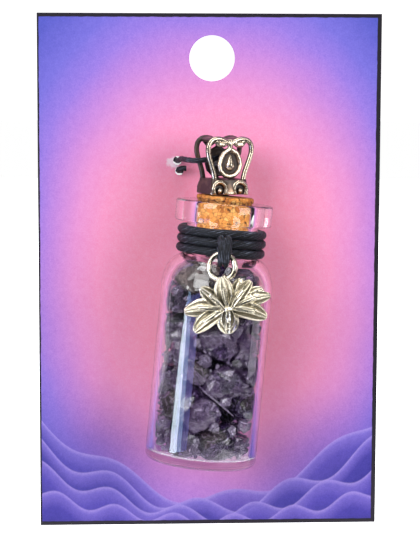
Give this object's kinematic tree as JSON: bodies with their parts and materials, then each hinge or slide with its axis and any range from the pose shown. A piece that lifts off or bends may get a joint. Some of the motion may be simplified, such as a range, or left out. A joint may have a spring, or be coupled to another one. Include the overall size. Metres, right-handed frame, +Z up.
{
  "type": "bottle pendant on a display card",
  "caption": "Corked glass vial of amethyst chips with a cast silver bail, a black cord wound round its neck and a lotus charm, tied to a printed card.",
  "frame": {"origin": "centre of the card's round hang hole, halfway through the card's thickness", "axes": "+Z up along the card's height, -Y out of the printed face towards the viewer, +X to the viewer's right"},
  "size_m": [0.068, 0.0284, 0.1028],
  "materials": {
    "card_print": "satin",
    "clear_glass": "gloss",
    "cork": "matte",
    "antique_silver": "satin",
    "ring_silver": "gloss",
    "charm_silver": "satin",
    "wrap_cord": "satin",
    "tie_cord": "satin",
    "amethyst": "gloss",
    "pale_chips": "gloss"
  },
  "bodies": {
    "root": {"card": "card_print", "bottle": "clear_glass", "cork": "cork", "bail": "antique_silver", "jump_ring": "ring_silver", "lotus_charm": "charm_silver", "neck_wrap": "wrap_cord", "charm_loop": "wrap_cord", "card_tie": "tie_cord", "crumbs": "pale_chips", "chip_01": "amethyst", "chip_02": "amethyst", "chip_03": "amethyst", "chip_04": "amethyst", "chip_05": "amethyst", "chip_06": "amethyst", "chip_07": "amethyst", "chip_08": "amethyst", "chip_09": "amethyst", "chip_10": "amethyst", "chip_11": "amethyst", "chip_12": "amethyst", "chip_13": "amethyst", "chip_14": "amethyst", "chip_15": "amethyst", "chip_16": "amethyst", "chip_17": "amethyst", "chip_18": "amethyst", "chip_19": "amethyst", "chip_20": "amethyst", "chip_21": "amethyst", "chip_22": "amethyst", "chip_23": "amethyst", "chip_24": "amethyst", "chip_25": "amethyst", "chip_26": "amethyst", "chip_27": "amethyst", "chip_28": "amethyst", "chip_29": "amethyst", "chip_30": "amethyst", "chip_31": "amethyst", "chip_32": "amethyst", "chip_33": "amethyst", "chip_34": "amethyst", "chip_35": "amethyst", "chip_36": "amethyst", "chip_37": "amethyst", "chip_38": "amethyst", "chip_39": "amethyst", "chip_40": "amethyst"}
  },
  "joints": []
}
